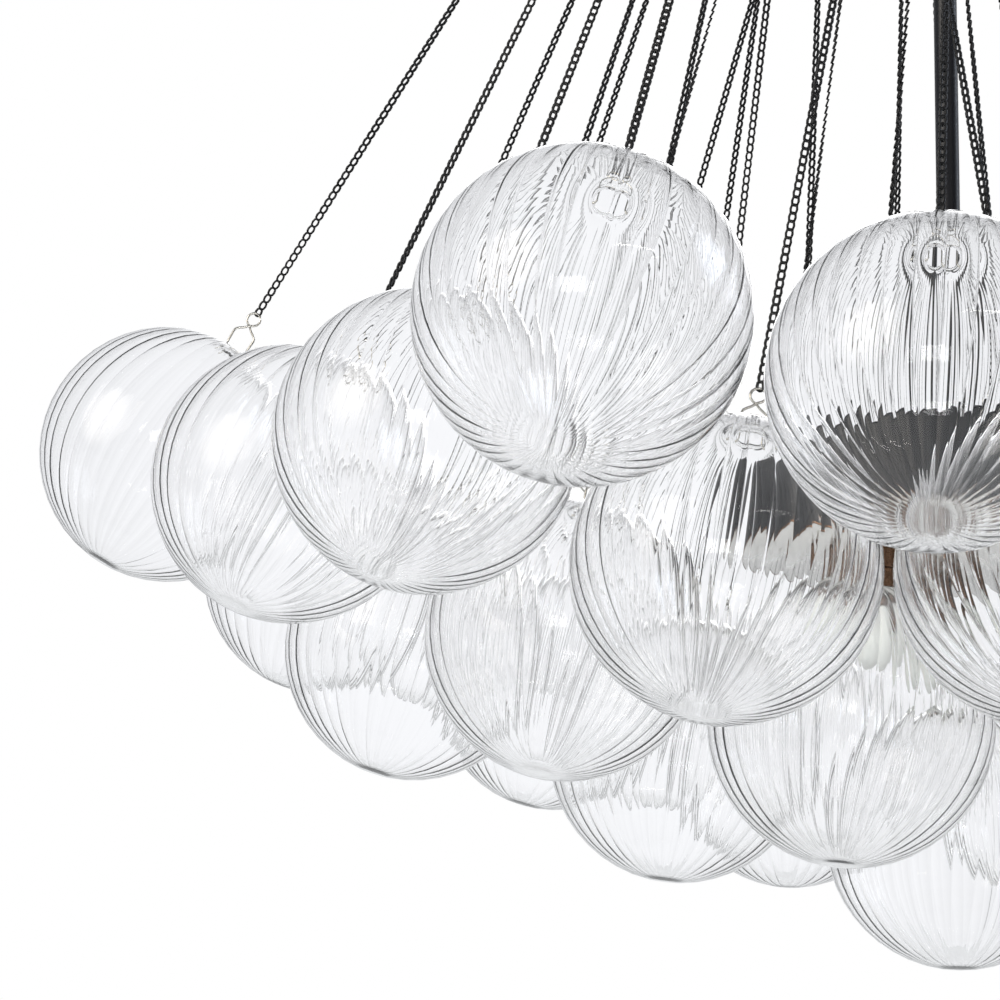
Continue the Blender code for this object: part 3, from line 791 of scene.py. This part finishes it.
def makeFloor():
    bm = bmesh.new()
    bmesh.ops.create_grid(bm, x_segments=1, y_segments=1, size=studio["floorSize"] / 2)
    bmesh.ops.translate(bm, vec=(0, 0, -studio["floorDrop"]), verts=bm.verts)
    material, tree = newMaterial("paleFloor")
    place = addNode(tree, "ShaderNodeTexCoord").outputs["Object"]
    grain = addNode(tree, "ShaderNodeTexNoise", {"Vector": place, "Scale": 6.0, "Detail": 3.0})
    tone = addNode(tree, "ShaderNodeMix", {"Factor": grain.outputs["Fac"], "A": linear(studio["floorTone"]),
                                           "B": linear(studio["floorPaler"])}, data_type="RGBA")
    matte = addNode(tree, "ShaderNodeBsdfDiffuse", {"Color": tone.outputs["Result"]})
    closeMaterial(tree, matte.outputs[0])
    floor = asPiece("floor", bm, material)


def makeWorld():
    world = bpy.data.worlds.new("studio")
    bpy.context.scene.world = world
    world.use_nodes = True
    tree = world.node_tree
    tree.nodes.clear()
    look = addNode(tree, "ShaderNodeTexCoord").outputs["Generated"]
    parts = addNode(tree, "ShaderNodeSeparateXYZ", {0: look})
    # bands and flags round the room
    azimuth = addNode(tree, "ShaderNodeMath", {0: parts.outputs["X"], 1: parts.outputs["Y"]},
                      operation="ARCTAN2")
    phase = addNode(tree, "ShaderNodeMath", {0: azimuth.outputs[0], 1: studio["bands"] / 2},
                    operation="MULTIPLY")
    wave = addNode(tree, "ShaderNodeMath", {0: phase.outputs[0]}, operation="SINE")
    square = addNode(tree, "ShaderNodeMath", {0: wave.outputs[0], 1: wave.outputs[0]}, operation="MULTIPLY")
    flag = addNode(tree, "ShaderNodeMath", {0: square.outputs[0], 1: studio["flagNarrow"]}, operation="POWER")
    low = addNode(tree, "ShaderNodeMapRange", {
        "Value": parts.outputs["Z"], "From Min": studio["flagHeights"][0],
        "From Max": studio["flagHeights"][1]}, interpolation_type="SMOOTHSTEP")
    lowFlag = addNode(tree, "ShaderNodeMath", {0: flag.outputs[0], 1: low.outputs[0]}, operation="MULTIPLY")
    flagShade = addNode(tree, "ShaderNodeMapRange", {"Value": lowFlag.outputs[0], "To Min": 1.0,
                                                     "To Max": studio["flagShade"]})
    bandShade = addNode(tree, "ShaderNodeMapRange", {"Value": square.outputs[0], "To Min": 1.0,
                                                     "To Max": studio["bandShade"]})
    banded = addNode(tree, "ShaderNodeMath", {0: flagShade.outputs[0], 1: bandShade.outputs[0]},
                     operation="MULTIPLY")
    overhead = addNode(tree, "ShaderNodeMapRange", {
        "Value": parts.outputs["Z"], "From Min": studio["overheadHeights"][0],
        "From Max": studio["overheadHeights"][1], "To Min": 1.0, "To Max": studio["overheadShade"]},
        interpolation_type="SMOOTHSTEP")
    # a pure reflection is a glossy ray that didn't pass through
    path = addNode(tree, "ShaderNodeLightPath")
    reflected = addNode(tree, "ShaderNodeMath", {0: path.outputs["Is Glossy Ray"],
                                                 1: path.outputs["Is Transmission Ray"]},
                        operation="SUBTRACT", use_clamp=True)
    behind = addNode(tree, "ShaderNodeMapRange", {
        "Value": parts.outputs["Y"], "From Min": studio["mirrorSpan"][0], "From Max": studio["mirrorSpan"][1],
        "To Min": studio["mirrorLevel"], "To Max": studio["mirrorBack"]}, interpolation_type="SMOOTHSTEP")
    mirror = addNode(tree, "ShaderNodeMapRange", {"Value": reflected.outputs[0], "To Min": 1.0,
                                                  "To Max": behind.outputs[0]})
    dim = addNode(tree, "ShaderNodeMath", {0: overhead.outputs[0], 1: mirror.outputs[0]},
                  operation="MULTIPLY")
    shade = addNode(tree, "ShaderNodeMath", {0: banded.outputs[0], 1: dim.outputs[0]}, operation="MULTIPLY")
    # the camera, mirrors and glass see the backdrop, and matte faces take the fill
    seen = addNode(tree, "ShaderNodeMath", {0: path.outputs["Is Glossy Ray"],
                                            1: path.outputs["Is Transmission Ray"]}, operation="MAXIMUM")
    shown = addNode(tree, "ShaderNodeMath", {0: seen.outputs[0], 1: path.outputs["Is Camera Ray"]},
                    operation="MAXIMUM")
    level = addNode(tree, "ShaderNodeMath", {0: shade.outputs[0], 1: path.outputs["Is Camera Ray"]},
                    operation="MAXIMUM")
    tone = addNode(tree, "ShaderNodeMix", {
        "Factor": path.outputs["Is Camera Ray"], "A": linear(studio["glassTone"]), "B": (1, 1, 1, 1)},
        data_type="RGBA")
    colour = addNode(tree, "ShaderNodeVectorMath", {0: tone.outputs["Result"], "Scale": level.outputs[0]},
                     operation="SCALE").outputs[0]
    # the soft boxes add to what reflections meet, with edges that fade out
    for towards, halfAngle, strength, boxTone in studio["softBoxes"]:
        aim = addNode(tree, "ShaderNodeVectorMath", {0: look, 1: Vector(towards).normalized()},
                      operation="DOT_PRODUCT")
        lobe = addNode(tree, "ShaderNodeMapRange", {
            "Value": aim.outputs["Value"], "From Min": math.cos(math.radians(halfAngle)), "From Max": 1.0,
            "To Min": 0.0, "To Max": strength}, interpolation_type="SMOOTHSTEP")
        lit = addNode(tree, "ShaderNodeMath", {0: lobe.outputs[0], 1: reflected.outputs[0]},
                      operation="MULTIPLY")
        box = addNode(tree, "ShaderNodeVectorMath", {0: linear(boxTone)[:3], "Scale": lit.outputs[0]},
                      operation="SCALE")
        colour = addNode(tree, "ShaderNodeVectorMath", {0: colour, 1: box.outputs[0]},
                         operation="ADD").outputs[0]
    backdrop = addNode(tree, "ShaderNodeBackground", {"Color": colour, "Strength": 1.0})
    fill = addNode(tree, "ShaderNodeBackground", {"Color": linear(studio["fillTone"]),
                                                  "Strength": studio["fillLevel"]})
    mix = addNode(tree, "ShaderNodeMixShader", {0: shown.outputs[0], 1: fill.outputs[0],
                                                2: backdrop.outputs[0]})
    addNode(tree, "ShaderNodeOutputWorld", {"Surface": mix.outputs[0]})


def addLamp(name, place, width, height, watts, tone, mirrored):
    light = bpy.data.lights.new(name, "AREA")
    light.shape = "RECTANGLE"
    light.size = width
    light.size_y = height
    light.energy = watts
    light.color = linear(tone)[:3]
    stand = bpy.data.objects.new(name, light)
    stand.location = place
    aim = Vector(studio["lampAim"]) - Vector(place)
    stand.rotation_euler = aim.to_track_quat("-Z", "Y").to_euler()
    stand.visible_glossy = mirrored
    bpy.context.scene.collection.objects.link(stand)


makeFloor()
makeWorld()
for name, setting in studio["lamps"].items():
    addLamp(name, *setting)

cameraLook = {
    "place": (-0.2653, -1.4849, -1.1904),
    "pitch": 0.1971,  # radians up from level
    "roll": 0.02,
    "lens": 93.03,
    "sensor": 36.0,
    "clipStart": 0.05,
}
camera = bpy.data.objects.new("camera", bpy.data.cameras.new("camera"))
bpy.context.scene.collection.objects.link(camera)
camera.data.sensor_width = cameraLook["sensor"]
camera.data.lens = cameraLook["lens"]
camera.data.clip_start = cameraLook["clipStart"]
camera.location = cameraLook["place"]
camera.rotation_euler = (Matrix.Rotation(math.pi / 2 + cameraLook["pitch"], 3, "X")
                         @ Matrix.Rotation(cameraLook["roll"], 3, "Z")).to_euler()

scene = bpy.context.scene
scene.camera = camera
scene.view_settings.view_transform = "Standard"
scene.cycles.max_bounces = studio["bounces"]
scene.cycles.transmission_bounces = studio["bounces"]
scene.cycles.transparent_max_bounces = studio["bounces"]

print("scene complete")
